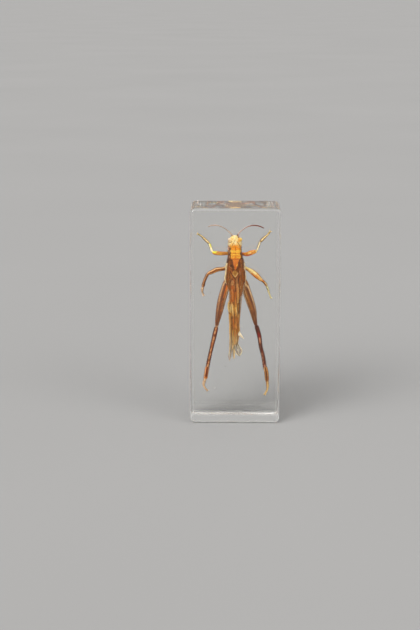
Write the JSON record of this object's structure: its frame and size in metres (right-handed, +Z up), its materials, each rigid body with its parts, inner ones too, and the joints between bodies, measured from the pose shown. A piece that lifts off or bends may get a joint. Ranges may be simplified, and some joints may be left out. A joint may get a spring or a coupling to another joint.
{
  "type": "insect in resin block",
  "caption": "Clear cast resin block with rounded edges that stands on its small end and holds a dried long-winged locust, sealed upright with its legs and feelers spread.",
  "frame": {"origin": "centre of the block's flat bottom face, on the surface that it stands on", "axes": "+Z up the block towards the specimen's head, -Y out of the broad front face that the specimen's back is seen through, +X to the right of someone facing the front"},
  "size_m": [0.045, 0.028, 0.11],
  "materials": {
    "clear_resin": "polished clear casting resin, very faintly grey",
    "golden_cuticle": "dried golden orange insect shell with brown seams, satin",
    "amber_limb": "dried amber to red brown leg shell, satin",
    "wing_membrane": "dry straw coloured wing with raised veins"
  },
  "bodies": {
    "root": {"resin_block": "clear_resin"}
  },
  "joints": []
}
